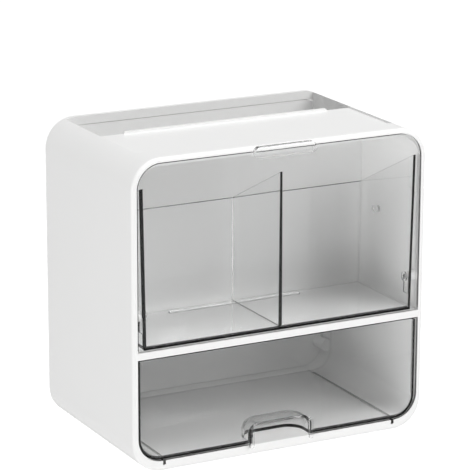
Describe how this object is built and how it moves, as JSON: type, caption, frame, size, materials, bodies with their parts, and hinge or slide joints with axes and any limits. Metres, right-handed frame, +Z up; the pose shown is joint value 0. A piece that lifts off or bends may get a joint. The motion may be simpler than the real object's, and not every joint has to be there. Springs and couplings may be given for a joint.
{
  "type": "wall_mounted_swab_dispenser",
  "caption": "White rounded wall box for cotton swabs: clear tilt-out bin over a clear drawer, with an open tray on top.",
  "frame": {"origin": "the middle of the wall pad's sticking face, in the plane of the wall, 120 mm above the underside and on the left-right middle plane", "axes": "+X is right as seen from the front, +Y points into the wall, +Z is up; the clear front faces -Y"},
  "size_m": [0.184, 0.1186, 0.178],
  "materials": {
    "white_plastic": "opaque white moulded plastic, smooth, semi-gloss",
    "clear_plastic": "clear colourless moulded plastic, polished",
    "screw_steel": "bright zinc-plated steel",
    "foam_tape": "pale double-sided foam tape, matte"
  },
  "bodies": {
    "housing": {"shell": "white_plastic", "rear_cover": "white_plastic", "cover_screws": "screw_steel", "wall_bracket": "white_plastic", "adhesive_pad": "foam_tape"},
    "bin": {"tilt_bin": "clear_plastic", "bin_divider": "clear_plastic", "pivot_pin_left": "clear_plastic", "pivot_pin_right": "clear_plastic"},
    "drawer_unit": {"drawer": "clear_plastic"}
  },
  "joints": [
    {"name": "bin_tilt", "type": "hinge", "parent": "housing", "child": "bin", "pos_m": [0, -0.1095, -0.0304], "axis": [1, 0, 0], "range_deg": [0, 45]},
    {"name": "drawer_slide", "type": "slide", "parent": "housing", "child": "drawer_unit", "axis": [0, -1, 0], "range_m": [0, 0.07]}
  ]
}
